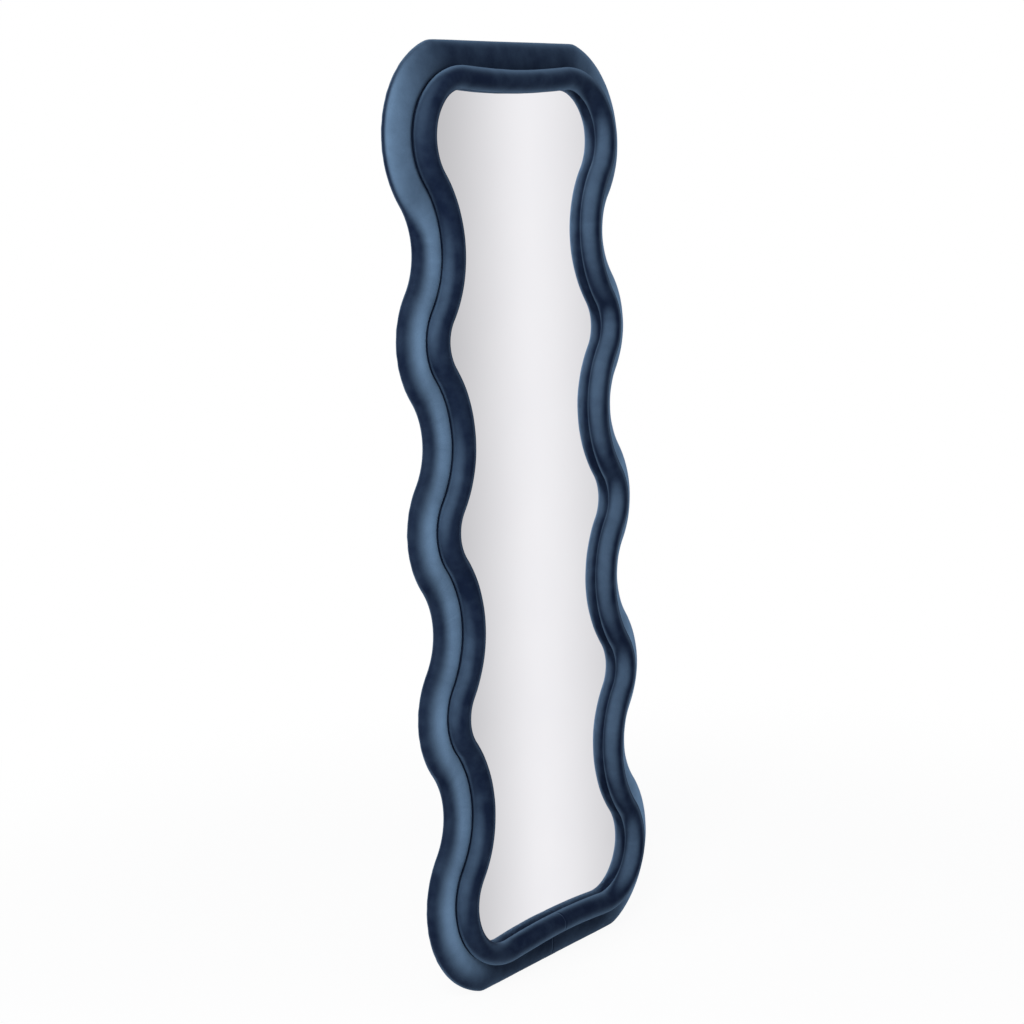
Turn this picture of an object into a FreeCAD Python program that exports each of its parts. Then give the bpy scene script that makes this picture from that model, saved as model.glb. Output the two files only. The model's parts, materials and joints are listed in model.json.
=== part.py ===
import FreeCAD, Part
import math
import os

# Full-length wall mirror with a wavy padded frame covered in velvet.
# The frame has two tiers: a broad flat-fronted outer tier with rounded shoulders, and a round
# roll that lies on the edge of the glass.
#
# Frame of reference: +X to the right as the mirror is looked into, +Y towards the wall, +Z up.
# The origin is the centre of the back face. "Depth" below is the distance out from that face
# towards the room, so a point at depth d has Y = -d. "Offset" is the distance outwards from the
# roll's centreline, in the plane of the glass. All sizes are in millimetres.

# ---- overall form ----
overall_height = 1600.0
overall_width = 622.0        # across the four corners
corner_step = 6.0            # the middle bulges stand this far inside the corners' width
band_width = 68.0            # from the roll's centreline to the outer edge
wave_depth = 51.0            # from the top of a bulge to the bottom of a pinch
bulge_radius = 80.0          # of the roll's centreline
end_margin = 176.0           # from the flat end to the level of the last bulge
end_trim = 7.0               # how much the flat end takes off the corners' crest
end_dip = 6.0                # sag of the roll between the two corners

# ---- layers, from the back ----
dust_thickness = 0.8
velvet_thickness = 1.2
board_thickness = 9.0
frame_thickness = 12.0
tape_thickness = 1.2
film_thickness = 0.3
glass_thickness = 4.0
roll_rise = 10.5             # roll's axis above the face of the glass
roll_radius = 19.0
tier_drop = 2.6              # the tier's face lies this far behind the face of the glass
fit_gap = 0.1                # between a cover and what it is stretched over
loose_gap = 0.3              # between pieces that are laid in beside each other
flatness = 0.001             # how closely an edge lies at a depth to count as on that face

# ---- outline of the layers ----
groove_gap = 0.8             # between the roll and the tier's edge beside it
groove_radius = 4.0          # that edge of the tier
fold_radius = 9.0            # back edge of the outer tier
side_flat = 3.0              # upright strip between the back edge and the rounded front
foam_hem = 2.0               # flat of the wrapped foam's back, beside the edge of the board
turn_in = 30.0               # velvet turned over onto the back of the board
dust_inset = 12.0            # from the outer edge to the edge of the dust cover
glass_cover = 12.0           # glass hidden under the roll
frame_band = 46.0            # width of the wooden frame's members
film_inset = 2.0

# ---- joints of the wooden frame ----
lap_length = 60.0
dowel_radius = 3.0
dowel_pitch = 30.0
batten_height = 50.0
batten_screw_spread = 160.0
tape_height = 20.0
tape_end_gap = 12.0

# ---- fasteners ----
wood_screw_radius = 2.0
wood_screw_length = 18.0
wood_screw_head_radius = 4.0
wood_screw_head_height = 2.2
staple_crown = 10.0
staple_wire = 1.2
staple_thickness = 0.6
staple_leg = 7.0
staple_inset = 9.0           # from the edge of the dust cover to the staples
staples_per_arc = 3

# ---- hanging hardware ----
hanger_inset = 25.0          # from the outer edge to the middle of the strap
hanger_width = 13.0
strap_thickness = 1.2
strap_length = 46.0
ring_wire_radius = 1.5
ring_gap = 0.3               # between the ring's bar and the strap's eye
ring_width = 24.0            # across the centre of the wire
ring_drop = 17.0             # from the bar's axis to the middle of the bow
ring_corner = 3.5
hanger_screw_first = 27.0    # from the bar's axis to the first screw
hanger_screw_pitch = 12.0
hanger_screw_radius = 1.9
hanger_screw_length = 9.5
hanger_head_radius = 3.6
hanger_head_height = 1.8
bumper_radius = 10.0
bumper_height = 8.0
bumper_inset = 26.0          # from the outer edge to the middle of the pad
bumper_angle = 45.0          # around each corner's arc
bumper_edge = 1.5

# ---- derived levels ----
velvet_back = dust_thickness
board_back = velvet_back + velvet_thickness
board_front = board_back + board_thickness
frame_front = board_front + frame_thickness
film_back = frame_front + tape_thickness
glass_back = film_back + film_thickness
glass_front = glass_back + glass_thickness
roll_axis = glass_front + roll_rise
tier_front = glass_front - tier_drop
frame_middle = board_front + frame_thickness / 2
shoulder_radius = tier_front - velvet_back - fold_radius - side_flat

# ---- derived outline ----
half_height = overall_height / 2
wave_pitch = (half_height - end_margin) / 2
bulge_x = overall_width / 2 - corner_step - band_width - bulge_radius
wave_angle = 2 * math.atan(2 * wave_depth / wave_pitch)
centre_distance = wave_pitch / 2 / math.sin(wave_angle)
pinch_radius = centre_distance - bulge_radius
pinch_x = bulge_x + centre_distance * math.cos(wave_angle)
crest_z = half_height + end_trim - band_width
last_pinch_z = 1.5 * wave_pitch

# The corner arc touches the last pinch arc, the widest line and the crest line, so its radius
# is the smaller root of a quadratic.
corner_reach = pinch_x - (overall_width / 2 - band_width)
corner_rise = crest_z - last_pinch_z
root_sum = corner_rise + pinch_radius - corner_reach
root_product = corner_reach ** 2 + corner_rise ** 2 - pinch_radius ** 2
corner_radius = root_sum - math.sqrt(root_sum ** 2 - root_product)
corner_x = overall_width / 2 - band_width - corner_radius
corner_z = crest_z - corner_radius
corner_start = math.atan2(corner_rise - corner_radius, corner_reach + corner_radius)
dip_angle = 2 * math.atan(end_dip / corner_x)
dip_radius = corner_x / math.sin(dip_angle) - corner_radius
dip_z = corner_z + (corner_radius + dip_radius) * math.cos(dip_angle)

# The rounded edge beside the roll clears the roll by the groove's gap.
lip_reach = roll_radius + groove_gap + groove_radius
lip_drop = roll_axis - tier_front + groove_radius
groove_offset = math.sqrt(lip_reach ** 2 - lip_drop ** 2) - groove_radius
board_offset = band_width - fold_radius - foam_hem - loose_gap
glass_offset = -math.sqrt(roll_radius ** 2 - roll_rise ** 2) + glass_cover
frame_outer = groove_offset - loose_gap
frame_inner = frame_outer - frame_band
roll_centre_pinch_x = pinch_x - pinch_radius

CONVEX = 1
HOLLOW = -1


def right_side_arcs():
    """Arcs of the right side, upwards: centre x, centre z, radius, start, end, bend."""
    arcs = []
    for step in range(-1, 2):
        z = step * wave_pitch
        arcs.append((pinch_x, z - wave_pitch / 2, pinch_radius,
                     math.pi + wave_angle, math.pi - wave_angle, HOLLOW))
        arcs.append((bulge_x, z, bulge_radius, -wave_angle, wave_angle, CONVEX))
    arcs.append((pinch_x, last_pinch_z, pinch_radius,
                 math.pi + wave_angle, math.pi - corner_start, HOLLOW))
    first = arcs[0]
    arcs[0] = first[:3] + (math.pi + corner_start,) + first[4:]
    return arcs


def turned(arcs):
    """The same arcs turned half way round about the mirror's centre."""
    return [(-x, -z, r, a + math.pi, b + math.pi, bend) for x, z, r, a, b, bend in arcs]


def centreline():
    """The roll's centreline as one closed chain of touching arcs, anticlockwise from below."""
    quarter = math.pi / 2
    top = [
        (corner_x, corner_z, corner_radius, -corner_start, quarter + dip_angle, CONVEX),
        (0.0, dip_z, dip_radius, 3 * quarter + dip_angle, 3 * quarter - dip_angle, HOLLOW),
        (-corner_x, corner_z, corner_radius, quarter - dip_angle, math.pi + corner_start, CONVEX),
    ]
    half = right_side_arcs() + top
    return half + turned(half)


ARCS = centreline()


def point_on(arc, angle, offset, depth):
    x, z, radius, start, end, bend = arc
    reach = radius + bend * offset
    return FreeCAD.Vector(x + reach * math.cos(angle), -depth, z + reach * math.sin(angle))


def outline(offset, depth):
    """Closed wire parallel to the centreline."""
    edges = []
    for arc in ARCS:
        start, end = arc[3], arc[4]
        ends = [point_on(arc, a, offset, depth) for a in (start, (start + end) / 2, end)]
        edges.append(Part.Arc(*ends).toShape())
    return Part.Wire(edges)


def block(x0, x1, z0, z1, back, front):
    """Box between two depths."""
    corner = FreeCAD.Vector(x0, -front, z0)
    return Part.makeBox(x1 - x0, front - back, z1 - z0, corner)


def slab(offset, back, front):
    """Plate with the wavy outline at the given offset, between two depths."""
    face = Part.Face(outline(offset, back))
    return face.extrude(FreeCAD.Vector(0, back - front, 0))


def trimmed_slab(offset, back, front):
    """Plate whose ends are cut straight, as the outer tier's are."""
    half = half_height - (band_width - offset)
    return slab(offset, back, front).common(
        block(-overall_width, overall_width, -half, half, back, front))


def ring(inner, outer, back, front):
    return slab(outer, back, front).cut(slab(inner, back, front))


def rim_edges(shape, depth):
    """Edges of the flat face at one depth."""
    return [e for e in shape.Edges if abs(e.BoundBox.YMin + depth) < flatness
            and abs(e.BoundBox.YMax + depth) < flatness]


def padded_band(inset, back, front):
    """The outer tier's envelope, drawn in by a skin thickness, with its edges rounded."""
    plate = trimmed_slab(band_width - inset, back, front)
    plate = plate.makeFillet(shoulder_radius - inset, rim_edges(plate, front))
    plate = plate.makeFillet(fold_radius - inset, rim_edges(plate, back))
    shoulder_rim = rim_edges(plate, front)
    band = plate.cut(slab(groove_offset + inset, back, front))
    groove_rim = [e for e in rim_edges(band, front)
                  if not any(e.CenterOfMass.isEqual(r.CenterOfMass, loose_gap)
                             for r in shoulder_rim)]
    return band.makeFillet(groove_radius - inset, groove_rim)


def swept(section):
    """Solid made by carrying a section, given in offset and depth, round the centreline."""
    faces = []
    for arc in ARCS:
        x, z, radius, start, end, bend = arc
        rim = section(lambda offset, depth: point_on(arc, start, offset, depth)).OuterWire
        axis = FreeCAD.Vector(0, -1 if end > start else 1, 0)
        turn = math.degrees(abs(end - start))
        faces += rim.revolve(FreeCAD.Vector(x, 0, z), axis, turn).Faces
    skin = Part.makeShell(faces)
    skin.sewShape()
    return Part.makeSolid(skin)


def cylinder(radius, back, front, x, z):
    base = FreeCAD.Vector(x, -back, z)
    return Part.makeCylinder(radius, front - back, base, FreeCAD.Vector(0, -1, 0))


# ---- wooden structure ----

def base_board():
    board = trimmed_slab(board_offset, board_back, board_front)
    return board.cut(wood_screws(fit_gap)).cut(staple_legs()).cut(hanger_screws(fit_gap))


def upright_space(side):
    """Space that an upright fills: its back half runs on past its front half for the lap."""
    short = last_pinch_z - lap_length / 2
    tall = last_pinch_z + lap_length / 2
    x0, x1 = sorted((0.0, side * overall_width))
    body = block(x0, x1, -short, short, board_front, frame_front)
    tongues = block(x0, x1, -tall, tall, board_front, frame_middle)
    return body.fuse(tongues)


def wooden_ring():
    whole = ring(frame_inner, frame_outer, board_front, frame_front)
    return whole.cut(wood_screws(fit_gap)).cut(dowels(fit_gap))


def stile(whole, side):
    return whole.common(upright_space(side))


def rail(whole, end):
    """Top or bottom member, lapped over the ends of the two uprights."""
    z0, z1 = sorted((0.0, end * overall_height))
    half = whole.common(block(-overall_width, overall_width, z0, z1, board_front, frame_front))
    return half.cut(upright_space(1)).cut(upright_space(-1))


def batten(level):
    space = slab(frame_inner - loose_gap, board_front, frame_front)
    bar = block(-overall_width, overall_width, level - batten_height / 2,
                level + batten_height / 2, board_front, frame_front)
    return space.common(bar).cut(wood_screws(fit_gap))


def dowels(gap=0.0):
    """Pairs of dowels through the four lap joints."""
    x = roll_centre_pinch_x + (frame_inner + frame_outer) / 2
    pins = []
    for side in (-1, 1):
        for end in (-1, 1):
            for place in (-0.5, 0.5):
                z = end * last_pinch_z + place * dowel_pitch
                pins.append(cylinder(dowel_radius + gap, board_front, frame_front, side * x, z))
    return Part.makeCompound(pins)


def screw_places():
    """One wood screw at the middle of each arc of the frame, and two in each batten."""
    middle = (frame_inner + frame_outer) / 2
    places = []
    for arc in ARCS:
        point = point_on(arc, (arc[3] + arc[4]) / 2, middle, 0.0)
        places.append((point.x, point.z))
    for level in batten_levels():
        for side in (-0.5, 0.5):
            places.append((side * batten_screw_spread, level))
    return places


def batten_levels():
    return [step * wave_pitch for step in (-1, 0, 1)]


def wood_screws(gap=0.0):
    """Countersunk screws, driven from the back of the board into the frame."""
    screws = []
    for x, z in screw_places():
        shank = cylinder(wood_screw_radius + gap, board_back, board_back + wood_screw_length + gap,
                         x, z)
        head = Part.makeCone(wood_screw_head_radius + gap, wood_screw_radius + gap,
                             wood_screw_head_height, FreeCAD.Vector(x, -board_back, z),
                             FreeCAD.Vector(0, -1, 0))
        screws.append(shank.fuse(head))
    return Part.makeCompound(screws)


# ---- glass ----

def mirror_glass():
    return slab(glass_offset, glass_back, glass_front)


def safety_film():
    return slab(glass_offset - film_inset, film_back, glass_back)


def mounting_tape():
    """Strips of foam tape, one along each batten and one along each rail."""
    strips = []
    for level in batten_levels():
        half = roll_centre_pinch_x + frame_inner - tape_end_gap
        strips.append(block(-half, half, level - tape_height / 2, level + tape_height / 2,
                            frame_front, film_back))
    rail_z = corner_z + corner_radius - end_dip + glass_offset - film_inset - tape_end_gap
    for end in (-1, 1):
        z0, z1 = sorted((end * rail_z, end * (rail_z - tape_height)))
        strips.append(block(-corner_x, corner_x, z0, z1, frame_front, film_back))
    return Part.makeCompound(strips)


# ---- padding and velvet ----

def tier_foam():
    """Foam that lies on the board and is wrapped round its edge."""
    inset = velvet_thickness + fit_gap
    pad = padded_band(inset, board_back, tier_front - inset)
    return pad.cut(trimmed_slab(board_offset + loose_gap, velvet_back, board_front))


def tier_cover():
    """Velvet over the outer tier, tucked into the groove and turned onto the back."""
    skin = padded_band(0.0, velvet_back, tier_front)
    filling = padded_band(velvet_thickness, board_back, tier_front - velvet_thickness)
    inside = slab(band_width - turn_in, velvet_back, board_front)
    skin = skin.cut(filling).cut(inside)
    return skin.cut(staple_legs()).cut(hanger_screws(fit_gap))


def roll_section(radius, hole=0.0):
    """Round section, notched where it sits on the glass and on the wooden frame."""
    def build(place):
        centre = place(0.0, roll_axis)
        along = place(1.0, roll_axis).sub(centre)
        normal = along.cross(FreeCAD.Vector(0, 1, 0))
        disc = Part.Face(Part.Wire(Part.makeCircle(radius, centre, normal)))
        if hole:
            disc = disc.cut(Part.Face(Part.Wire(Part.makeCircle(hole, centre, normal))))
        edge = glass_offset + loose_gap
        reach = 2 * roll_radius
        corners = [(-reach, 0.0), (reach, 0.0), (reach, frame_front), (edge, frame_front),
                   (edge, glass_front), (-reach, glass_front), (-reach, 0.0)]
        seat = Part.Face(Part.makePolygon([place(o, d) for o, d in corners]))
        return disc.cut(seat).Faces[0]
    return build


def roll_core():
    return swept(roll_section(roll_radius - velvet_thickness - fit_gap))


def roll_cover():
    return swept(roll_section(roll_radius, roll_radius - velvet_thickness))


def dust_cover():
    sheet = trimmed_slab(band_width - dust_inset, 0.0, velvet_back)
    return sheet.cut(staple_legs()).cut(hanger_screws(fit_gap))


# ---- staples ----

def staple_frames():
    """Place and direction of each staple, spread along every arc."""
    frames = []
    for arc in ARCS:
        start, end = arc[3], arc[4]
        for i in range(staples_per_arc):
            angle = start + (end - start) * (i + 0.5) / staples_per_arc
            place = point_on(arc, angle, band_width - dust_inset - staple_inset, 0.0)
            if abs(place.z) < hanger_z() - strap_length - staple_crown or \
                    abs(place.z) > hanger_z() + staple_crown:
                frames.append((place, math.degrees(angle)))
    return frames


def set_on_back(shape, place, angle):
    """Turn a shape drawn at the origin about Y and move it to its place on the back."""
    turned_shape = shape.copy()
    turned_shape.rotate(FreeCAD.Vector(0, 0, 0), FreeCAD.Vector(0, -1, 0), angle)
    turned_shape.translate(place)
    return turned_shape


def staple_parts(with_crown):
    legs = [block(-staple_wire / 2, staple_wire / 2, z - staple_thickness / 2,
                  z + staple_thickness / 2, 0.0, staple_leg)
            for z in (-staple_crown / 2, staple_crown / 2)]
    if not with_crown:
        return legs
    half = (staple_crown + staple_thickness) / 2
    crown = block(-staple_wire / 2, staple_wire / 2, -half, half, -staple_thickness, 0.0)
    return [crown.fuse(legs)]


def staple_set(with_crown):
    pieces = []
    for place, angle in staple_frames():
        pieces += [set_on_back(part, place, angle) for part in staple_parts(with_crown)]
    return Part.makeCompound(pieces)


def staple_legs():
    return staple_set(False)


# ---- hanging hardware ----

def hanger_x():
    return roll_centre_pinch_x + band_width - hanger_inset


def hanger_z():
    """Height of the ring bar's axis."""
    return last_pinch_z + strap_length / 2


def eye_radius():
    return ring_wire_radius + ring_gap


def bar_depth():
    """The bar's axis lies behind the back face, so its depth is negative."""
    return -(eye_radius() + strap_thickness)


def hanger_plate(side):
    x, z = side * hanger_x(), hanger_z()
    half = hanger_width / 2
    strap = block(x - half, x + half, z - strap_length, z, -strap_thickness, 0.0)
    end_edges = [e for e in strap.Edges if e.BoundBox.YLength > strap_thickness / 2
                 and e.BoundBox.ZMax < z - strap_length / 2]
    strap = strap.makeFillet(half - strap_thickness, end_edges)
    start = FreeCAD.Vector(x - half, -bar_depth(), z)
    along = FreeCAD.Vector(1, 0, 0)
    eye = Part.makeCylinder(eye_radius() + strap_thickness, hanger_width, start, along)
    bore = Part.makeCylinder(eye_radius(), hanger_width, start, along)
    return strap.fuse(eye).cut(bore).cut(hanger_screws(fit_gap)).removeSplitter()


def hanger_ring(side):
    """D-shaped wire: a bar in the strap's eye, two rounded corners and a bow below."""
    half = ring_width / 2
    bow_z = half - ring_drop
    x0, y0, z0 = side * hanger_x(), -bar_depth(), hanger_z()
    lean = ring_corner * (1 - math.sqrt(0.5))
    bar_end = half - ring_corner

    def at(x, z):
        return FreeCAD.Vector(x0 + x, y0, z0 + z)

    path = Part.Wire([
        Part.LineSegment(at(-bar_end, 0), at(bar_end, 0)).toShape(),
        Part.Arc(at(bar_end, 0), at(half - lean, -lean), at(half, -ring_corner)).toShape(),
        Part.LineSegment(at(half, -ring_corner), at(half, bow_z)).toShape(),
        Part.Arc(at(half, bow_z), at(0, bow_z - half), at(-half, bow_z)).toShape(),
        Part.LineSegment(at(-half, bow_z), at(-half, -ring_corner)).toShape(),
        Part.Arc(at(-half, -ring_corner), at(-half + lean, -lean), at(-bar_end, 0)).toShape(),
    ])
    wire_end = Part.Wire(Part.makeCircle(ring_wire_radius, at(-bar_end, 0),
                                         FreeCAD.Vector(1, 0, 0)))
    return path.makePipeShell([wire_end], True, False)


def hanger_screws(gap=0.0):
    """Pan-head screws through each strap into the board."""
    screws = []
    for side in (-1, 1):
        for i in range(2):
            z = hanger_z() - hanger_screw_first - i * hanger_screw_pitch
            x = side * hanger_x()
            shank = cylinder(hanger_screw_radius + gap, -strap_thickness,
                             hanger_screw_length + gap, x, z)
            head = cylinder(hanger_head_radius, -strap_thickness - hanger_head_height,
                            -strap_thickness, x, z)
            screws.append(shank if gap else shank.fuse(head))
    return Part.makeCompound(screws)


def wall_bumpers():
    """One rubber pad behind each corner."""
    angle = math.radians(bumper_angle)
    reach = corner_radius + band_width - bumper_inset
    x = corner_x + reach * math.cos(angle)
    z = corner_z + reach * math.sin(angle)
    pads = []
    for side in (-1, 1):
        for end in (-1, 1):
            pad = cylinder(bumper_radius, -bumper_height, 0.0, side * x, end * z)
            pads.append(pad.makeFillet(bumper_edge, rim_edges(pad, -bumper_height)))
    return Part.makeCompound(pads)


# ---- the assembly ----

def foam_strips(whole, name, back, front):
    """The four lengths that a ring of foam is cut into, met end to end at the last pinches."""
    wide = overall_width
    split = last_pinch_z
    tall = overall_height
    spaces = {
        "left": block(-wide, 0, -split, split, back, front),
        "right": block(0, wide, -split, split, back, front),
        "top": block(-wide, wide, split, tall, back, front),
        "bottom": block(-wide, wide, -tall, -split, back, front),
    }
    return {name + "_" + side: whole.common(space) for side, space in spaces.items()}


def all_nodes():
    whole = wooden_ring()
    low, middle, high = batten_levels()
    nodes = {
        "base_board": base_board(),
        "frame_stile_left": stile(whole, -1),
        "frame_stile_right": stile(whole, 1),
        "frame_rail_top": rail(whole, 1),
        "frame_rail_bottom": rail(whole, -1),
        "cross_batten_lower": batten(low),
        "cross_batten_middle": batten(middle),
        "cross_batten_upper": batten(high),
        "lap_dowels": dowels(),
        "frame_screws": wood_screws(),
        "mounting_tape": mounting_tape(),
        "safety_film": safety_film(),
        "mirror_glass": mirror_glass(),
        "tier_cover": tier_cover(),
        "roll_cover": roll_cover(),
        "dust_cover": dust_cover(),
        "back_staples": staple_set(True),
        "hanger_plate_left": hanger_plate(-1),
        "hanger_plate_right": hanger_plate(1),
        "hanger_ring_left": hanger_ring(-1),
        "hanger_ring_right": hanger_ring(1),
        "hanger_screws": hanger_screws(),
        "wall_bumpers": wall_bumpers(),
    }
    nodes.update(foam_strips(tier_foam(), "tier_foam", board_back, tier_front))
    nodes.update(foam_strips(roll_core(), "roll_foam", frame_front, roll_axis + roll_radius))
    return nodes


def main():
    os.makedirs("parts", exist_ok=True)
    for name, shape in all_nodes().items():
        solids = shape.Solids
        print(name, len(solids), "solid(s), volume", round(shape.Volume / 1000, 2), "cm3",
              "valid" if shape.isValid() else "NOT VALID")
        result = solids[0] if len(solids) == 1 else Part.makeCompound(solids)
        result.exportStep(os.path.join("parts", name + ".step"))
    print("corner radius", round(corner_radius, 2), "pinch radius", round(pinch_radius, 2))


main()
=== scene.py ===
import json
import math
from collections import namedtuple

import bpy
import numpy as np
from mathutils import Matrix, Vector, noise


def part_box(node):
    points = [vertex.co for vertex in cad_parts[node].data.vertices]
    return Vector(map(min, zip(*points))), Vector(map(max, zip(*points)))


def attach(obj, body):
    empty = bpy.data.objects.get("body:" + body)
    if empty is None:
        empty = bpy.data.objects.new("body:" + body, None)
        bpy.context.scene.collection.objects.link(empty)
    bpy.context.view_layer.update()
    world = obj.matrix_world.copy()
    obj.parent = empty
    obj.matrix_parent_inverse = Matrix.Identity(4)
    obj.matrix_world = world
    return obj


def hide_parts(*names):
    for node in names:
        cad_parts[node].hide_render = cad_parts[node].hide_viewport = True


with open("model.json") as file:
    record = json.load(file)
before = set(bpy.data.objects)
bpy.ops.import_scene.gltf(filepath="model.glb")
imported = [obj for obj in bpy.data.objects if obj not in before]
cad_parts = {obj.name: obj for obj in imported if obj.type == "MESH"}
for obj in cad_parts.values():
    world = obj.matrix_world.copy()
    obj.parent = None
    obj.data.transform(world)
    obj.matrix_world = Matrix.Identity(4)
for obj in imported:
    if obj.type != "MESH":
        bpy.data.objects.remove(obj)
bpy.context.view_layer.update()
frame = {"nodes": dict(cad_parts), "record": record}

# Full-length wall mirror with a wavy padded frame in navy velvet: a broad outer tier, and a round
# roll on the edge of the glass. +X is to the right, +Y towards the wall, +Z up, in metres.
# "Depth" is the distance out from the back face, so a point at depth d has Y = -d. "Offset" is
# the distance outwards from the roll's centreline, in the plane of the glass.

MM = 0.001

# ---- sizes read from the frame ----
tier_low, tier_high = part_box("tier_cover")
half_width = tier_high.x
half_height = tier_high.z
velvet_back = -tier_high.y
tier_front = -tier_low.y
roll_front = -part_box("roll_cover")[0].y
glass_front = -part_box("mirror_glass")[0].y
board_back = -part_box("base_board")[1].y
board_front = -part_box("base_board")[0].y
frame_front = -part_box("frame_rail_top")[0].y
dust_half_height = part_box("dust_cover")[1].z

# ---- the wavy outline ----
corner_step = 6 * MM         # the middle bulges stand this far inside the corners' width
band_width = 68 * MM         # from the roll's centreline to the outer edge
wave_depth = 51 * MM
bulge_radius = 80 * MM
end_margin = 176 * MM        # from the flat end to the level of the last bulge
end_trim = 7 * MM            # how much the flat end takes off the corners' crest
end_dip = 6 * MM             # sag of the roll between the two corners

wave_pitch = (half_height - end_margin) / 2
bulge_x = half_width - corner_step - band_width - bulge_radius
wave_angle = 2 * math.atan(2 * wave_depth / wave_pitch)
centre_distance = wave_pitch / 2 / math.sin(wave_angle)
pinch_radius = centre_distance - bulge_radius
pinch_x = bulge_x + centre_distance * math.cos(wave_angle)
crest_z = half_height + end_trim - band_width
last_pinch_z = 1.5 * wave_pitch

# The corner arc touches the last pinch arc, the widest line and the crest line.
corner_reach = pinch_x - (half_width - band_width)
corner_rise = crest_z - last_pinch_z
root_sum = corner_rise + pinch_radius - corner_reach
root_product = corner_reach ** 2 + corner_rise ** 2 - pinch_radius ** 2
corner_radius = root_sum - math.sqrt(root_sum ** 2 - root_product)
corner_x = half_width - band_width - corner_radius
corner_z = crest_z - corner_radius
corner_start = math.atan2(corner_rise - corner_radius, corner_reach + corner_radius)
dip_angle = 2 * math.atan(end_dip / corner_x)
dip_radius = corner_x / math.sin(dip_angle) - corner_radius
dip_z = corner_z + (corner_radius + dip_radius) * math.cos(dip_angle)

# ---- sections of the padding ----
roll_radius = 19 * MM
roll_axis = roll_front - roll_radius
roll_seat = -3.5 * MM        # offset at which the roll drops off the edge of the glass
groove_offset = 12.95 * MM
lip_radius = 4 * MM          # edge of the tier beside the roll
crown_rise = 1.6 * MM        # how far the middle of the tier swells above that edge
crown_offset = 32 * MM
shoulder_drop = 13.1 * MM    # depth over which the tier's front rounds off
fold_radius = 9 * MM         # back edge of the tier
board_inset = 11 * MM        # from the outer edge to the foam beside the board
tack_strip = 1.2 * MM        # thickness of the roll's velvet where it is tacked in the groove
frame_outer = 12.27 * MM     # offset of the wooden frame's outer side, which it is tacked to
tack_reach = 12.85 * MM      # offset of that velvet's outside
turn_in = 30 * MM            # velvet turned over onto the back
dust_offset = 56 * MM        # of the edge of the dust cover
staple_offset = 47 * MM
staples_per_arc = 3
edge_softness = 0.8 * MM     # rounds the crease where the flat end meets the corners
step_length = 3.5 * MM       # between two sections along the centreline
SEAM_STEPS = (-4, -2.5, -1.5, -0.8, 0, 0.8, 1.5, 2.5, 4)     # sections across a seam, in mm
face_steps = 7               # across the tier, from the groove's edge to the crown

# ---- how far hand-wrapped padding strays from those sections ----
tier_unevenness = 0.9 * MM
roll_unevenness = 0.6 * MM
seam_depth = 0.4 * MM
seam_width = 1.3 * MM        # from the seam to where the velvet is mostly back up
pleat_depth = 0.35 * MM
pleat_step = 2.2 * MM
pleat_beat = 9.3 * MM        # over which the pleats come and go

PAINTED_LIGHT_FROM = Vector((-0.8, 0.0, 0.6))   # direction of the painted light on the roll, beside the groove
PAINTED_LIGHT_FROM_INSIDE = Vector((-0.83, -0.44, 0.34))   # and beside the glass

CONVEX = 1
HOLLOW = -1
Arc = namedtuple("Arc", "x z radius start end bend")
Station = namedtuple("Station", "distance point outwards hollow")


# ---- the centreline ----

def right_side_arcs():
    """Arcs of the right side, upwards, from the lowest pinch to the highest."""
    arcs = []
    for step in (-1, 0, 1):
        z = step * wave_pitch
        arcs.append(Arc(pinch_x, z - wave_pitch / 2, pinch_radius,
                        math.pi + wave_angle, math.pi - wave_angle, HOLLOW))
        arcs.append(Arc(bulge_x, z, bulge_radius, -wave_angle, wave_angle, CONVEX))
    arcs.append(Arc(pinch_x, last_pinch_z, pinch_radius,
                    math.pi + wave_angle, math.pi - corner_start, HOLLOW))
    arcs[0] = arcs[0]._replace(start=math.pi + corner_start)
    return arcs


def centreline():
    """The roll's centreline as one closed chain of touching arcs, anticlockwise from below."""
    quarter = math.pi / 2
    top = [
        Arc(corner_x, corner_z, corner_radius, -corner_start, quarter + dip_angle, CONVEX),
        Arc(0.0, dip_z, dip_radius, 3 * quarter + dip_angle, 3 * quarter - dip_angle, HOLLOW),
        Arc(-corner_x, corner_z, corner_radius, quarter - dip_angle,
            math.pi + corner_start, CONVEX),
    ]
    half = right_side_arcs() + top
    turned = [Arc(-a.x, -a.z, a.radius, a.start + math.pi, a.end + math.pi, a.bend)
              for a in half]
    return half + turned


ARCS = centreline()
LENGTHS = [arc.radius * abs(arc.end - arc.start) for arc in ARCS]
LOOP_LENGTH = sum(LENGTHS)
MIDDLE_BULGE = 3             # index of the right side's middle bulge
CORNER = 7                   # index of the upper right corner's arc
BOTTOM_MIDDLE = LOOP_LENGTH - LENGTHS[-1] - LENGTHS[-2] / 2


def station(distance):
    """Where the centreline is after a distance, which way is outwards, and how hollow it is."""
    left = distance % LOOP_LENGTH
    for arc, length in zip(ARCS, LENGTHS):
        if left <= length:
            break
        left -= length
    share = left / length
    angle = arc.start + (arc.end - arc.start) * share
    ray = Vector((math.cos(angle), 0.0, math.sin(angle)))
    middle = math.sin(math.pi * min(max(share, 0.0), 1.0))
    hollow = middle if arc.bend == HOLLOW else -middle
    return Station(distance, Vector((arc.x, 0.0, arc.z)) + ray * arc.radius,
                   ray * arc.bend, hollow)


def stations(seams):
    """Sections a step apart all round, and closer together across each seam."""
    count = round(LOOP_LENGTH / step_length)
    places = [LOOP_LENGTH * i / count for i in range(count)]
    for seam in seams:
        places = [p for p in places if abs(p - seam) > step_length]
        places += [seam + step * MM for step in SEAM_STEPS]
    return [station(place) for place in sorted(places)]


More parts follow.
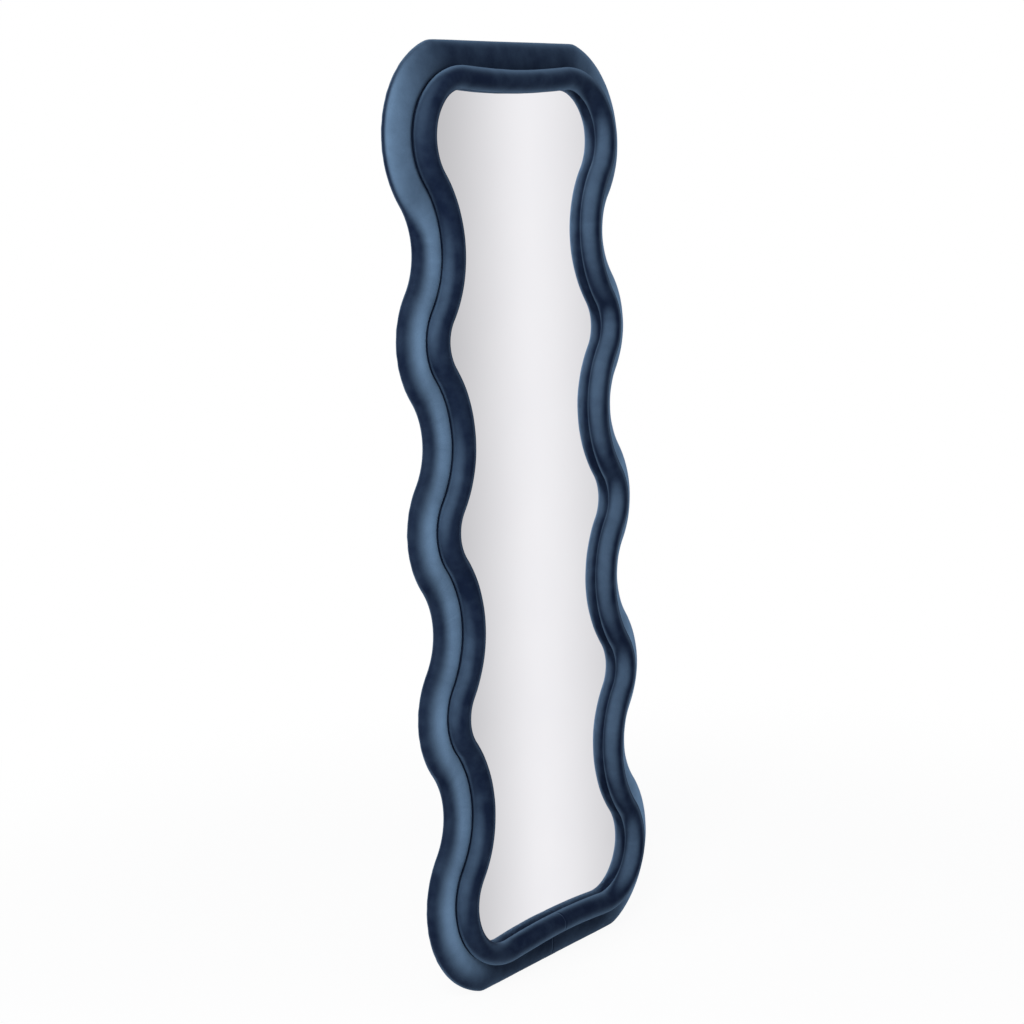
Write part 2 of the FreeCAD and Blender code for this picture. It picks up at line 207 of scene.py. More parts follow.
def outer_edge(place):
    """Offset of the tier's outer edge, cut straight at the two ends."""
    rise = place.outwards.z * math.copysign(1, place.point.z)
    faces_sideways = rise < 0.2
    if faces_sideways:
        return band_width
    flat = (half_height - abs(place.point.z)) / rise
    low = min(band_width, flat)
    gap = abs(band_width - flat)
    return low - edge_softness * math.log1p(math.exp(-gap / edge_softness))


# ---- sections ----

def bow(centre, width, height, start, end, count, power=2.0):
    """Points along part of an ellipse, or of a squarer one where the power is above 2."""
    points = []
    for i in range(count):
        angle = math.radians(start + (end - start) * i / (count - 1))
        across, out = math.cos(angle), math.sin(angle)
        points.append((
            centre[0] + math.copysign(abs(across) ** (2 / power), across) * width,
            centre[1] + math.copysign(abs(out) ** (2 / power), out) * height))
    return points


def between(first, last, count):
    """Points strictly between two points."""
    return [tuple(a + (b - a) * i / (count + 1) for a, b in zip(first, last))
            for i in range(1, count + 1)]


def tier_section(place):
    """Padded tier: up out of the groove, over the crown and shoulder, and round to the back."""
    edge = outer_edge(place)
    lip_top = tier_front - crown_rise
    wall_foot = (groove_offset, board_front)
    lip = bow((groove_offset + lip_radius, lip_top - lip_radius), lip_radius, lip_radius,
              180, 95, 7)
    lip_end = groove_offset + lip_radius
    face = []
    for i in range(1, face_steps):
        share = i / face_steps
        face.append((lip_end + (crown_offset - lip_end) * share,
                     tier_front - crown_rise * (1 - share) ** 2))
    shoulder = bow((crown_offset, tier_front - shoulder_drop), edge - crown_offset,
                   shoulder_drop, 90, 0, 22, 2.3)
    fold_start = (edge, velvet_back + fold_radius)
    side = between(shoulder[-1], fold_start, 2)
    fold = bow((edge - fold_radius, velvet_back + fold_radius), fold_radius, fold_radius,
               0, -90, 6)
    strip_end = (band_width - turn_in, velvet_back)
    strip = between(fold[-1], strip_end, 4)
    inside = [strip_end, (band_width - turn_in, board_back),
              (edge - board_inset, board_back), (edge - board_inset, board_front)]
    return [wall_foot] + lip + face + shoulder + side + fold + strip + inside


def roll_section(place):
    """Round roll, cut flat on the glass, its velvet carried on into the groove and tacked."""
    glass_side = -math.sqrt(roll_radius ** 2 - (roll_axis - glass_front) ** 2)
    tack_front = frame_front + tack_strip
    frame_side = math.sqrt(roll_radius ** 2 - (roll_axis - tack_front) ** 2)
    start = math.degrees(math.atan2(glass_front - roll_axis, glass_side)) + 360
    end = math.degrees(math.atan2(tack_front - roll_axis, frame_side))
    skin = bow((0.0, roll_axis), roll_radius, roll_radius, start, end, 44)
    tack_end = (frame_front + board_front) / 2
    return skin + [(tack_reach, tack_front), (tack_reach, tack_end), (frame_outer, tack_end),
                   (frame_outer, frame_front), (roll_seat, frame_front),
                   (roll_seat, glass_front)]


# ---- meshes ----

def new_piece(name, points, faces):
    mesh = bpy.data.meshes.new(name)
    mesh.from_pydata(points, [], faces)
    mesh.validate()
    piece = bpy.data.objects.new(name, mesh)
    bpy.context.scene.collection.objects.link(piece)
    return piece


def swept(name, places, section):
    """Ring with a closed section; each point keeps its distance, offset and depth as "flow"."""
    points, flow = [], []
    for place in places:
        for offset, depth in section(place):
            points.append(place.point + place.outwards * offset - Vector((0, depth, 0)))
            flow.append((place.distance, offset, depth))
    count = len(points) // len(places)
    faces = []
    for i in range(len(places)):
        row, following = i * count, (i + 1) % len(places) * count
        for j in range(count):
            k = (j + 1) % count
            faces.append((row + j, following + j, following + k, row + k))
    piece = new_piece(name, points, faces)
    attribute = piece.data.attributes.new("flow", "FLOAT_VECTOR", "POINT")
    attribute.data.foreach_set("vector", np.array(flow, np.float32).ravel())
    return piece, flow


def outward_faces(piece):
    """Turn all faces outwards and shade them smooth, with hard edges kept hard."""
    bpy.context.view_layer.objects.active = piece
    piece.select_set(True)
    bpy.ops.object.mode_set(mode="EDIT")
    bpy.ops.mesh.select_all(action="SELECT")
    bpy.ops.mesh.normals_make_consistent(inside=False)
    bpy.ops.object.mode_set(mode="OBJECT")
    piece.select_set(False)
    piece.data.shade_smooth()
    piece.data.set_sharp_from_angle(angle=math.radians(50))


def swell(piece, amount):
    """Move each point along its normal by what the function gives for its place."""
    mesh = piece.data
    normals = [normal.vector.copy() for normal in mesh.vertex_normals]
    for vertex, normal in zip(mesh.vertices, normals):
        vertex.co += normal * amount(vertex.index, vertex.co)
    mesh.update()


def smooth_step(low, high, value):
    share = min(max((value - low) / (high - low), 0.0), 1.0)
    return share * share * (3 - 2 * share)


def uneven(place, seed):
    """Slow unevenness of hand-wrapped padding, about -1 to 1."""
    broad = noise.noise(place / (90 * MM) + Vector((seed, 0, 0)))
    fine = noise.noise(place / (28 * MM) + Vector((0, seed, 0)))
    return broad + 0.35 * fine


def seam_dip(distance, seams):
    """How deep the cloth is drawn in at a seam, from 0 to 1."""
    nearest = min(abs(distance - seam) for seam in seams)
    return math.exp(-(nearest / seam_width) ** 2)


def set_painted_shading(piece, places, flow, painted_shading, painted_sheen_mask):
    """Store painted light and shade, from 0 for dark to 1 for light, and where a painted sheen
    shows at a glancing view, each as an attribute."""
    count = len(flow) // len(places)
    for name, share in (("painted_shading", painted_shading), ("painted_sheen_mask", painted_sheen_mask)):
        values = [share(places[index // count], offset, depth)
                  for index, (_, offset, depth) in enumerate(flow)]
        attribute = piece.data.attributes.new(name, "FLOAT", "POINT")
        attribute.data.foreach_set("value", np.array(values, np.float32))


# ---- materials ----

COLOUR_A, COLOUR_B, COLOUR_OUT = 6, 7, 2     # sockets of a Mix node that mixes colours


def linear(code):
    """Linear RGBA of an sRGB hex colour."""
    channels = [int(code[i:i + 2], 16) / 255 for i in (1, 3, 5)]
    return [c / 12.92 if c <= 0.04045 else ((c + 0.055) / 1.055) ** 2.4
            for c in channels] + [1.0]


def add(tree, kind, inputs, **settings):
    """Add a node with its settings, and give each input a value or a link."""
    made = tree.nodes.new(kind)
    for name, value in settings.items():
        setattr(made, name, value)
    for name, value in inputs.items():
        if isinstance(value, bpy.types.NodeSocket):
            tree.links.new(value, made.inputs[name])
        else:
            made.inputs[name].default_value = value
    return made


def new_material(name):
    made = bpy.data.materials.new(name)
    made.use_nodes = True
    made.node_tree.nodes.clear()
    place = add(made.node_tree, "ShaderNodeTexCoord", {}).outputs["Object"]
    return made, made.node_tree, place


def close_material(tree, inputs):
    shader = add(tree, "ShaderNodeBsdfPrincipled", inputs)
    add(tree, "ShaderNodeOutputMaterial", {"Surface": shader.outputs[0]})


def per_metre(size_mm):
    """Texture scale at which one feature of the pattern is about this size."""
    return 1 / (size_mm * MM)


def cut_pile_velvet():
    """Polyester velvet, woven and cut, dark where one looks into the pile and light along it.
    Its light and shade are painted into the colour, per place on the piece, and a painted
    sheen lightens it at a glancing view.
    """
    made, tree, place = new_material("cut_pile_velvet")
    painted_shading = add(tree, "ShaderNodeAttribute", {}, attribute_name="painted_shading").outputs["Fac"]
    painted_sheen_mask = add(tree, "ShaderNodeAttribute", {}, attribute_name="painted_sheen_mask").outputs["Fac"]
    flow = add(tree, "ShaderNodeAttribute", {}, attribute_name="flow").outputs["Vector"]
    strokes = add(tree, "ShaderNodeMapping", {"Vector": flow, "Scale": (1.0, 0.4, 0.4)})
    brushed = add(tree, "ShaderNodeTexNoise",
                  {"Vector": strokes.outputs[0], "Scale": per_metre(24), "Detail": 3.0,
                   "Distortion": 0.8})
    crushed = add(tree, "ShaderNodeTexNoise",
                  {"Vector": place, "Scale": per_metre(34), "Detail": 3.0, "Roughness": 0.55})
    # Tufts are about 0.5 mm wide, too fine to show, so they are drawn at 1.2 mm.
    tufts = add(tree, "ShaderNodeTexNoise",
                {"Vector": place, "Scale": per_metre(1.2), "Detail": 2.0, "Roughness": 0.6})
    marks = add(tree, "ShaderNodeMapRange",
                {"Value": brushed.outputs["Fac"], "From Min": 0.3, "From Max": 0.7,
                 "To Min": 0.92, "To Max": 1.08})
    clouds = add(tree, "ShaderNodeMapRange",
                 {"Value": crushed.outputs["Fac"], "From Min": 0.3, "From Max": 0.7,
                  "To Min": -0.03, "To Max": 0.03})
    # Painted light and shade set per place, with the brush marks and crushed patches over it.
    share = add(tree, "ShaderNodeMath", {0: painted_shading, 1: marks.outputs[0], 2: clouds.outputs[0]},
                operation="MULTIPLY_ADD", use_clamp=True)
    # Painted sheen: at a glancing angle the colour is made lighter, where the mask lets it.
    facing = add(tree, "ShaderNodeLayerWeight", {"Blend": 0.5}).outputs["Facing"]
    painted_sheen = add(tree, "ShaderNodeMapRange",
                 {"Value": facing, "From Min": 0.35, "From Max": 0.85, "To Min": 0.0,
                  "To Max": 0.45}, interpolation_type="SMOOTHSTEP")
    lit = add(tree, "ShaderNodeMath",
              {0: painted_sheen.outputs[0], 1: painted_sheen_mask, 2: share.outputs[0]}, operation="MULTIPLY_ADD",
              use_clamp=True)
    colour = add(tree, "ShaderNodeMix",
                 {0: lit.outputs[0], COLOUR_A: linear("#0f1a2e"), COLOUR_B: linear("#7290ae")},
                 data_type="RGBA")
    speck = add(tree, "ShaderNodeMapRange",
                {"Value": tufts.outputs["Fac"], "From Min": 0.3, "From Max": 0.7,
                 "To Min": 0.9, "To Max": 1.1})
    shaded = add(tree, "ShaderNodeVectorMath",
                 {0: colour.outputs[COLOUR_OUT], "Scale": speck.outputs[0]}, operation="SCALE")
    bump = add(tree, "ShaderNodeBump",
               {"Height": tufts.outputs["Fac"], "Strength": 0.3, "Distance": 0.4 * MM})
    close_material(tree, {
        "Base Color": shaded.outputs[0], "Roughness": 0.85, "Specular IOR Level": 0.05,
        "Sheen Weight": 0.03, "Sheen Roughness": 0.4, "Sheen Tint": linear("#7aa4dc"),
        "Normal": bump.outputs[0]})
    return made


def silvered_glass():
    """Float glass silvered on its back: a clean, slightly grey reflection."""
    made, tree, place = new_material("silvered_glass")
    film = add(tree, "ShaderNodeTexNoise",
               {"Vector": place, "Scale": per_metre(140), "Detail": 2.0})
    colour = add(tree, "ShaderNodeMix",
                 {0: film.outputs["Fac"], COLOUR_A: linear("#f4f4f6"),
                  COLOUR_B: linear("#f9f9fa")}, data_type="RGBA")
    haze = add(tree, "ShaderNodeMapRange",
               {"Value": film.outputs["Fac"], "To Min": 0.0, "To Max": 0.02})
    close_material(tree, {"Base Color": colour.outputs[COLOUR_OUT], "Metallic": 1.0,
                          "Roughness": haze.outputs[0]})
    return made


def spunbond_cloth():
    """Black non-woven cloth, bonded by rows of small pressed dots."""
    made, tree, place = new_material("spunbond_cloth")
    # The bond dots are 0.6 mm at 1 mm spacing, drawn at 3 mm so that they show.
    dots = add(tree, "ShaderNodeTexVoronoi",
               {"Vector": place, "Scale": per_metre(3), "Randomness": 0.15})
    fibres = add(tree, "ShaderNodeTexNoise",
                 {"Vector": place, "Scale": per_metre(4), "Detail": 5.0, "Roughness": 0.7})
    colour = add(tree, "ShaderNodeMix",
                 {0: fibres.outputs["Fac"], COLOUR_A: linear("#131315"),
                  COLOUR_B: linear("#2b2b2e")}, data_type="RGBA")
    press = add(tree, "ShaderNodeBump",
                {"Height": dots.outputs["Distance"], "Strength": 0.5, "Distance": 0.25 * MM})
    close_material(tree, {"Base Color": colour.outputs[COLOUR_OUT], "Roughness": 0.75,
                          "Normal": press.outputs[0]})
    return made


def wood(name, dark, light, grain_mm, stretch):
    """Sawn or sanded wood: fibres drawn out along Z."""
    made, tree, place = new_material(name)
    along = add(tree, "ShaderNodeMapping", {"Vector": place, "Scale": (1.0, 1.0, 1 / stretch)})
    grain = add(tree, "ShaderNodeTexNoise",
                {"Vector": along.outputs[0], "Scale": per_metre(grain_mm), "Detail": 6.0,
                 "Roughness": 0.65})
    colour = add(tree, "ShaderNodeMix",
                 {0: grain.outputs["Fac"], COLOUR_A: linear(dark), COLOUR_B: linear(light)},
                 data_type="RGBA")
    bump = add(tree, "ShaderNodeBump",
               {"Height": grain.outputs["Fac"], "Strength": 0.3, "Distance": 0.2 * MM})
    close_material(tree, {"Base Color": colour.outputs[COLOUR_OUT], "Roughness": 0.6,
                          "Normal": bump.outputs[0]})
    return made


def fibreboard():
    """Sawn medium-density fibreboard: even, pale brown, with short fibres."""
    return wood("fibreboard", "#8f6f4a", "#b8966a", 1.5, 1.0)


def birch_plywood():
    """Sanded birch: pale honey, with long fine fibres."""
    return wood("birch_plywood", "#b99562", "#dcc295", 2.5, 18.0)


def turned_beech():
    """Beech dowel: redder than the birch, with shorter fibres."""
    return wood("turned_beech", "#b88a5c", "#d9b487", 1.5, 12.0)


def plated_metal(name, dark, light, roughness):
    """Plated steel: a soft sheen broken up by faint blotches in the plating."""
    made, tree, place = new_material(name)
    blotch = add(tree, "ShaderNodeTexNoise",
                 {"Vector": place, "Scale": per_metre(2.5), "Detail": 4.0})
    colour = add(tree, "ShaderNodeMix",
                 {0: blotch.outputs["Fac"], COLOUR_A: linear(dark), COLOUR_B: linear(light)},
                 data_type="RGBA")
    worn = add(tree, "ShaderNodeMapRange",
               {"Value": blotch.outputs["Fac"], "To Min": roughness - 0.07,
                "To Max": roughness + 0.07})
    bump = add(tree, "ShaderNodeBump",
               {"Height": blotch.outputs["Fac"], "Strength": 0.1, "Distance": 0.05 * MM})
    close_material(tree, {"Base Color": colour.outputs[COLOUR_OUT], "Metallic": 1.0,
                          "Roughness": worn.outputs[0], "Normal": bump.outputs[0]})
    return made


def zinc_plated_steel():
    """Cool light grey with a broad, soft highlight."""
    return plated_metal("zinc_plated_steel", "#9a9c9c", "#c6c8c6", 0.38)


def nickel_plated_steel():
    """Warmer and shinier than the zinc, with a tighter highlight."""
    return plated_metal("nickel_plated_steel", "#b9b4aa", "#d8d4ca", 0.22)


def moulded(name, dark, light, grain_mm, roughness):
    """Moulded or foamed plastic and rubber: even colour, a fine matt grain."""
    made, tree, place = new_material(name)
    grain = add(tree, "ShaderNodeTexNoise",
                {"Vector": place, "Scale": per_metre(grain_mm), "Detail": 4.0})
    colour = add(tree, "ShaderNodeMix",
                 {0: grain.outputs["Fac"], COLOUR_A: linear(dark), COLOUR_B: linear(light)},
                 data_type="RGBA")
    bump = add(tree, "ShaderNodeBump",
               {"Height": grain.outputs["Fac"], "Strength": 0.3, "Distance": 0.15 * MM})
    close_material(tree, {"Base Color": colour.outputs[COLOUR_OUT], "Roughness": roughness,
                          "Normal": bump.outputs[0]})
    return made


def moulded_rubber():
    """Black and even, with no shine."""
    return moulded("moulded_rubber", "#151515", "#262626", 0.8, 0.7)


def foam_tape():
    """Off-white and matt, with fine cells."""
    return moulded("foam_tape", "#d5d5cf", "#efefe9", 1.0, 0.8)


def polyester_film():
    """Grey and half glossy, almost without grain."""
    return moulded("polyester_film", "#9fa3a6", "#b4b8bb", 6.0, 0.35)


def cushion_foam():
    """Cream and quite matt, with open cells."""
    return moulded("cushion_foam", "#d9cfae", "#efe7c9", 1.2, 0.95)


def studio_floor():
    """Pale floor: white to the camera but for the object's shadow, and unseen in the mirror.
    Its own shading fades out away from the object, so that it ends without an edge."""
    made, tree, place = new_material("studio_floor")
    path = add(tree, "ShaderNodeLightPath", {})
    grain = add(tree, "ShaderNodeTexNoise", {"Vector": place, "Scale": per_metre(400)})
    colour = add(tree, "ShaderNodeMix",
                 {0: grain.outputs["Fac"], COLOUR_A: linear("#f2f2f2"),
                  COLOUR_B: linear("#f6f6f6")}, data_type="RGBA")
    matt = add(tree, "ShaderNodeBsdfDiffuse", {"Color": colour.outputs[COLOUR_OUT]})
    white = add(tree, "ShaderNodeEmission", {"Strength": 1.0})
    away = add(tree, "ShaderNodeVectorMath", {0: place}, operation="LENGTH")
    shading = add(tree, "ShaderNodeMapRange",
                  {"Value": away.outputs["Value"], "From Min": 0.7, "From Max": 2.0,
                   "To Min": 0.07, "To Max": 0.0}, interpolation_type="SMOOTHSTEP")
    pale = add(tree, "ShaderNodeMixShader",
               {0: shading.outputs[0], 1: white.outputs[0], 2: matt.outputs[0]})
    seen = add(tree, "ShaderNodeMixShader",
               {0: path.outputs["Is Camera Ray"], 1: matt.outputs[0], 2: pale.outputs[0]})
    through = add(tree, "ShaderNodeBsdfTransparent", {})
    mirrored = add(tree, "ShaderNodeMath", {0: path.outputs["Is Glossy Ray"],
                                            1: path.outputs["Is Transmission Ray"]},
                   operation="MAXIMUM")
    chosen = add(tree, "ShaderNodeMixShader",
                 {0: mirrored.outputs[0], 1: seen.outputs[0], 2: through.outputs[0]})
    add(tree, "ShaderNodeOutputMaterial", {"Surface": chosen.outputs[0]})
    return made


def dress(piece, material):
    if not piece.material_slots:
        piece.data.materials.append(material)
    for holder in piece.material_slots:
        holder.material = material


# ---- padded pieces ----

def gathers(place, offset, depth):
    """Depth of the small pleats where the velvet is turned over round a bulge, onto the back."""
    back = 1 - smooth_step(velvet_back + 1 * MM, velvet_back + fold_radius, depth)
    edge = smooth_step(band_width - turn_in, band_width - fold_radius, offset)
    full = max(-place.hollow, 0.0)
    pleat = math.sin(place.distance / pleat_step) * math.sin(place.distance / pleat_beat)
    return pleat_depth * back * edge * full * (1 + pleat)


def tier_painted_shading(place, offset, depth):
    """Painted light and shade on the tier: light on the face of the two sides, out to the edge on
    the right and at the upper corners, and a little along the top's outer edge. It is painted
    dark round the outside on the left, on the bottom and in the groove."""
    reach = offset / outer_edge(place)
    hollow = (place.hollow + 1) / 2
    high = smooth_step(last_pinch_z, corner_z, place.point.z)
    wide = max(high, smooth_step(0.0, 0.6, place.outwards.x))
    face = 1 - smooth_step(0.42 + 0.16 * hollow + 0.5 * wide, 1.0 + 0.3 * wide - 0.07 * hollow,
                           reach)
    front = smooth_step(tier_front - (12 + 3 * wide) * MM, tier_front - (3 + 5 * wide) * MM,
                        depth)
    rise = max(place.outwards.z, 0.0)
    # Painted light along the top's outer edge, as from above.
    painted_top_light = smooth_step(0.8, 1.0, reach) * smooth_step(board_front, tier_front, depth)
    sides = abs(place.outwards.x) ** 1.5 * (0.9 - 0.18 * hollow - 0.38 * high) * face * front
    # Painted shade in the groove.
    wall = smooth_step(groove_offset, groove_offset + lip_radius + 6 * MM * high, offset)
    return (0.025 + 0.025 * rise + sides + 0.1 * rise ** 1.5 * painted_top_light) * wall


def tier_sheen_mask(place, offset, depth):
    """Painted sheen shows everywhere but in the groove."""
    return smooth_step(groove_offset + lip_radius, groove_offset + 3 * lip_radius, offset)


def out_from_roll(place, offset, depth):
    """Direction from the roll's axis to a point on it."""
    return (place.outwards * offset + Vector((0, roll_axis - depth, 0))).normalized()


def roll_painted_shading(place, offset, depth):
    """Painted light and shade on the roll, as though lit from the left and above: light on those
    flanks, and more so beside the glass than beside the groove."""
    out = out_from_roll(place, offset, depth)
    # Painted shade deep in the groove, by the tack.
    clear = smooth_step(frame_front + tack_strip, frame_front + 7 * MM, depth)
    high = smooth_step(last_pinch_z, corner_z, place.point.z)
    outer = (0.18 - 0.08 * high) * smooth_step(0.5, 1.0, out.dot(PAINTED_LIGHT_FROM))
    inner = 0.24 * smooth_step(0.6, 1.0, out.dot(PAINTED_LIGHT_FROM_INSIDE))
    return (0.015 + (outer if offset > 0 else inner)) * clear


def roll_sheen_mask(place, offset, depth):
    """Painted sheen shows on the flanks that face left, not on those that face right, nor deep
    in the groove."""
    left = 1 - smooth_step(0.1, 0.6, out_from_roll(place, offset, depth).x)
    shelter = smooth_step(frame_front + tack_strip, roll_axis, depth) if offset > 0 else 1.0
    return left * shelter


def tier_velvet(material):
    """The broad padded tier with its velvet, from the groove round to the back."""
    seams = [BOTTOM_MIDDLE]
    places = stations(seams)
    piece, flow = swept("tier_velvet", places, tier_section)
    count = len(flow) // len(places)
    outward_faces(piece)

    def amount(index, co):
        distance, offset, depth = flow[index]
        skin = smooth_step(board_front, tier_front - 4 * MM, depth)
        return (skin * tier_unevenness * uneven(co, seed=3.0)
                - skin * seam_depth * seam_dip(distance, seams)
                - gathers(places[index // count], offset, depth))

    swell(piece, amount)
    set_painted_shading(piece, places, flow, tier_painted_shading, tier_sheen_mask)
    dress(piece, material)
    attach(piece, "frame")
    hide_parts("tier_cover", "tier_foam_left", "tier_foam_right", "tier_foam_top",
                "tier_foam_bottom")


def roll_velvet(material):
    """The round roll with its velvet, seated on the edge of the glass."""
    seams = [BOTTOM_MIDDLE]
    places = stations(seams)
    piece, flow = swept("roll_velvet", places, roll_section)
    outward_faces(piece)

    def amount(index, co):
        distance, _, depth = flow[index]
        skin = smooth_step(glass_front, glass_front + 9 * MM, depth)
        return (skin * roll_unevenness * uneven(co, seed=8.0)
                - skin * seam_depth * seam_dip(distance, seams))

    swell(piece, amount)
    set_painted_shading(piece, places, flow, roll_painted_shading, roll_sheen_mask)
    dress(piece, material)
    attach(piece, "frame")
    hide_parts("roll_cover", "roll_foam_left", "roll_foam_right", "roll_foam_top",
                "roll_foam_bottom")


# ---- the back ----

def half_breadth(z, offset):
    """Half the width at a level, of the outline at an offset from the centreline."""
    level = abs(z)
    for arc in right_side_arcs()[MIDDLE_BULGE:] + [ARCS[CORNER]]:
        reach = arc.radius + arc.bend * offset
        if level <= arc.z + reach * math.sin(arc.end) or arc is ARCS[CORNER]:
            break
    return arc.x + arc.bend * math.sqrt(max(reach ** 2 - (level - arc.z) ** 2, 0.0))


def staple_spots():
    """Where the dust cover is stapled: so many along each arc."""
    spots = []
    for arc in ARCS:
        for i in range(staples_per_arc):
            angle = arc.start + (arc.end - arc.start) * (i + 0.5) / staples_per_arc
            reach = arc.radius + arc.bend * staple_offset
            spots.append((arc.x + reach * math.cos(angle), arc.z + reach * math.sin(angle)))
    return np.array(spots)


def dust_cloth(material):
    """Thin cloth stretched over the back: hemmed, drawn in at its staples, and sunk where the
    velvet under it ends."""
    row_count, width = 241, 97
    pull_reach, fold_reach = 5 * MM, 16 * MM     # round each staple
    folds = 6                                    # that run out from each staple
    slack_size = 70 * MM
    shallowest, deepest = 0.05 * MM, 1.3 * MM
    rows = np.linspace(-dust_half_height, dust_half_height, row_count)
    across = np.sin(np.linspace(-1, 1, width) * math.pi / 2)
    flat = [(share * half_breadth(z, dust_offset), z) for z in rows for share in across]
    flat = np.array(flat)
    line = [station(distance) for distance in np.arange(0, LOOP_LENGTH, 8 * MM)]
    line_spots = np.array([(place.point.x, place.point.z) for place in line])
    spots = staple_spots()
    points = []
    for x, z in flat:
        near = line[int(np.hypot(line_spots[:, 0] - x, line_spots[:, 1] - z).argmin())]
        offset = (Vector((x, 0, z)) - near.point).dot(near.outwards)
        inset = min(dust_offset - offset, dust_half_height - abs(z))
        away = np.hypot(spots[:, 0] - x, spots[:, 1] - z)
        pull = float(np.exp(-(away / pull_reach) ** 2).sum())
        k = int(away.argmin())
        turn = math.atan2(z - spots[k, 1], x - spots[k, 0])
        fold = (math.cos(folds * turn) * math.exp(-(away[k] / fold_reach) ** 2)
                * (1 - min(pull, 1.0)))
        sunk = 1 - smooth_step(band_width - turn_in - 9 * MM, band_width - turn_in, offset)
        slack = noise.noise(Vector((x, 0, z)) / slack_size) * smooth_step(0, 60 * MM, inset)
        past_hem = smooth_step(11 * MM, 13 * MM, inset)
        depth = (0.3 + 0.55 * sunk + 0.2 * pull - 0.12 * fold + 0.18 * slack
                 + 0.12 * past_hem) * MM
        points.append((x, -min(max(depth, shallowest), deepest), z))
    faces = []
    for i in range(row_count - 1):
        for j in range(width - 1):
            a = i * width + j
            faces.append((a, a + 1, a + width + 1, a + width))
    piece = new_piece("dust_cloth", points, faces)
    thick = piece.modifiers.new("thickness", "SOLIDIFY")
    thick.thickness = 0.3 * MM
    thick.offset = 1.0 if piece.data.polygons[0].normal.y < 0 else -1.0
    piece.data.shade_smooth()
    dress(piece, material)
    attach(piece, "frame")
    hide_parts("dust_cover")


# ---- the camera, the light and the floor ----

def add_camera():
    """Seen from the left and a little above, from three and a half metres away. The numbers
    are fitted to the object's outlines."""
    yaw, pitch, roll = math.radians(51.2), math.radians(8.92), math.radians(-2.89)
    away, aside, above = 3.585, 0.0369, -0.0051
    look = Vector((math.sin(yaw) * math.cos(pitch), math.cos(yaw) * math.cos(pitch),
                   -math.sin(pitch)))
    level = Vector((math.cos(yaw), -math.sin(yaw), 0.0))
    upright = level.cross(look)
    right = level * math.cos(roll) + upright * math.sin(roll)
    up = upright * math.cos(roll) - level * math.sin(roll)
    camera = bpy.data.objects.new("camera", bpy.data.cameras.new("camera"))
    camera.data.lens = 73.1
    camera.data.sensor_width = 36.0
    bpy.context.scene.collection.objects.link(camera)
    turn = Matrix((right, up, -look)).transposed().to_4x4()
    spot = Vector((0, -glass_front, 0)) - look * away - right * aside - up * above
    camera.matrix_world = Matrix.Translation(spot) @ turn
    bpy.context.scene.camera = camera


def add_lamp(name, spot, size, power):
    lamp = bpy.data.lights.new(name, "AREA")
    lamp.shape = "SQUARE"
    lamp.size = size
    lamp.energy = power
    holder = bpy.data.objects.new(name, lamp)
    holder.location = spot
    holder.rotation_euler = (-Vector(spot)).to_track_quat("-Z", "Y").to_euler()
    bpy.context.scene.collection.objects.link(holder)


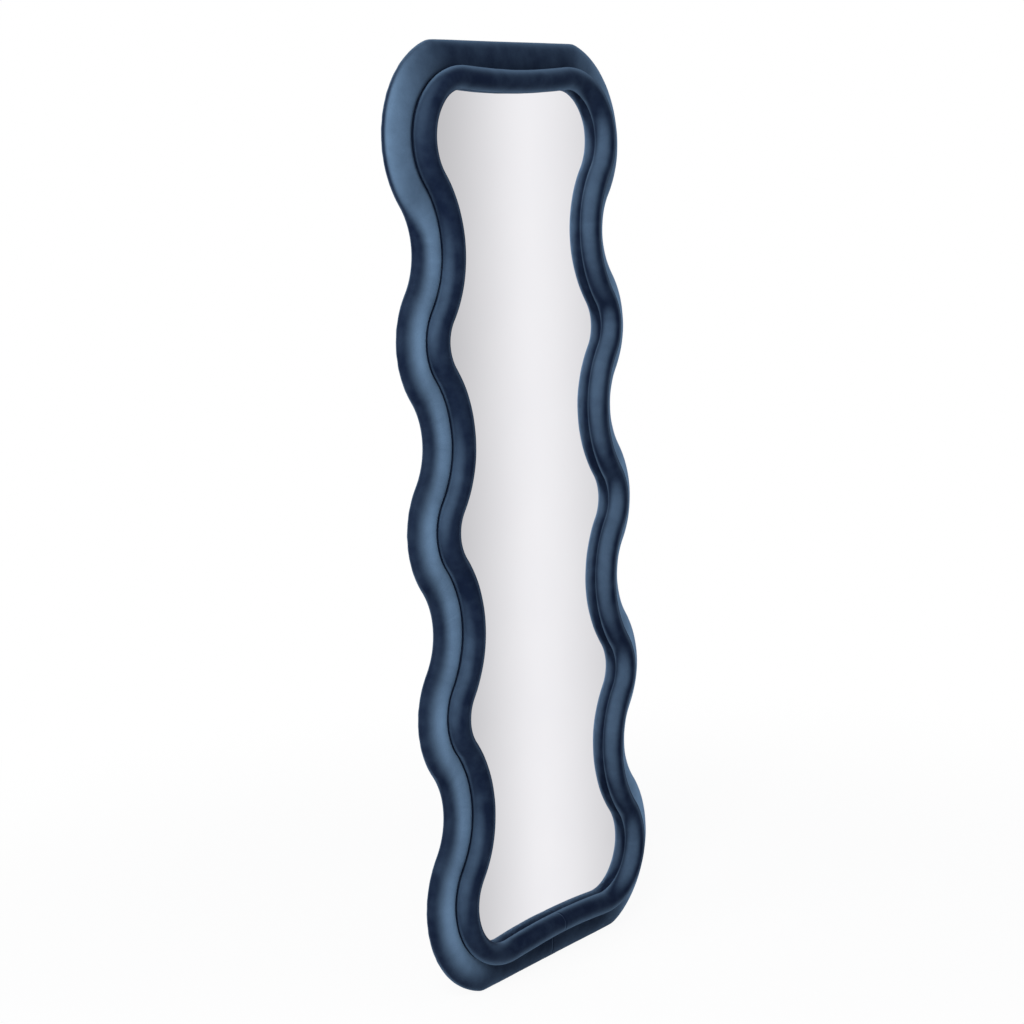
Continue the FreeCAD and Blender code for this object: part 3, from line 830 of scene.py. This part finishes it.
def add_world():
    """White to the camera, soft grey panels to the mirror, and an even fill for the rest."""
    world = bpy.data.worlds.new("studio")
    bpy.context.scene.world = world
    world.use_nodes = True
    tree = world.node_tree
    tree.nodes.clear()
    path = add(tree, "ShaderNodeLightPath", {})
    direction = add(tree, "ShaderNodeTexCoord", {}).outputs["Generated"]
    parts = add(tree, "ShaderNodeSeparateXYZ", {0: direction})
    forwards = add(tree, "ShaderNodeMath", {0: parts.outputs["Y"], 1: -1.0},
                   operation="MULTIPLY")
    bearing = add(tree, "ShaderNodeMath", {0: parts.outputs["X"], 1: forwards.outputs[0]},
                  operation="ARCTAN2")
    panel_width, brightest, lean = math.radians(8.2), math.radians(52.16), -0.025
    right_share = 0.857                 # how slowly a panel fades on the other side
    crest = math.radians(0.35)          # half the width of a panel's brightest stripe
    peak, dimmest, softness = 0.954, 0.54, 0.2
    fading = math.degrees(0.1845)       # brightness lost per radian away from that stripe
    turns = add(tree, "ShaderNodeMath",
                {0: bearing.outputs[0], 1: -brightest}, operation="ADD")
    leant = add(tree, "ShaderNodeMath",
                {0: parts.outputs["Z"], 1: lean, 2: turns.outputs[0]}, operation="MULTIPLY_ADD")
    wider = add(tree, "ShaderNodeMath", {0: leant.outputs[0], 1: right_share},
                operation="MULTIPLY")
    skewed = add(tree, "ShaderNodeMath", {0: leant.outputs[0], 1: wider.outputs[0]},
                 operation="MINIMUM")
    away = add(tree, "ShaderNodeMath", {0: skewed.outputs[0], 1: panel_width / 2},
               operation="PINGPONG")
    soft = add(tree, "ShaderNodeMath", {0: away.outputs[0], 1: crest, 2: 2 * crest},
               operation="SMOOTH_MAX")
    panel = add(tree, "ShaderNodeMath",
                {0: soft.outputs[0], 1: -fading, 2: peak + fading * crest},
                operation="MULTIPLY_ADD")
    grey = add(tree, "ShaderNodeMath", {0: panel.outputs[0], 1: dimmest, 2: softness},
               operation="SMOOTH_MAX")
    mirrored = add(tree, "ShaderNodeMath", {0: path.outputs["Is Glossy Ray"],
                                            1: path.outputs["Is Transmission Ray"]},
                   operation="MAXIMUM")
    fill = add(tree, "ShaderNodeBackground", {"Color": linear("#f2f5ff"), "Strength": 0.45})
    panels = add(tree, "ShaderNodeBackground",
                 {"Color": linear("#fdfcfe"), "Strength": grey.outputs[0]})
    white = add(tree, "ShaderNodeBackground", {"Color": linear("#ffffff"), "Strength": 1.0})
    lit = add(tree, "ShaderNodeMixShader",
              {0: mirrored.outputs[0], 1: fill.outputs[0], 2: panels.outputs[0]})
    seen = add(tree, "ShaderNodeMixShader",
               {0: path.outputs["Is Camera Ray"], 1: lit.outputs[0], 2: white.outputs[0]})
    add(tree, "ShaderNodeOutputWorld", {"Surface": seen.outputs[0]})


def add_floor():
    reach, gap = 8.0, 1 * MM
    floor = new_piece("floor", [(-reach, -reach, 0), (reach, -reach, 0), (reach, reach, 0),
                                (-reach, reach, 0)], [(0, 1, 2, 3)])
    floor.location.z = -half_height - gap
    dress(floor, studio_floor())


# ---- the whole ----

def dress_frame():
    """Give each piece carried over from the frame the finish of its material slot."""
    finishes = {
        "foam": cushion_foam(), "mdf": fibreboard(), "plywood": birch_plywood(),
        "dowel_wood": turned_beech(), "mirror": silvered_glass(), "film": polyester_film(),
        "tape": foam_tape(), "dust_cloth": spunbond_cloth(), "steel": zinc_plated_steel(),
        "nickel": nickel_plated_steel(), "rubber": moulded_rubber(),
        "velvet": cut_pile_velvet(),
    }
    for part in frame["record"]["subparts"]:
        dress(frame["nodes"][part["node"]], finishes[part["material_slot"]])
    return finishes


def main():
    finishes = dress_frame()
    tier_velvet(finishes["velvet"])
    roll_velvet(finishes["velvet"])
    dust_cloth(finishes["dust_cloth"])
    add_camera()
    add_lamp("key", spot=(-3.0, -1.6, 2.0), size=1.6, power=115.0)
    add_lamp("side", spot=(-3.3, 0.4, 0.6), size=1.4, power=22.0)
    add_world()
    add_floor()
    bpy.context.scene.view_settings.view_transform = "Standard"


main()
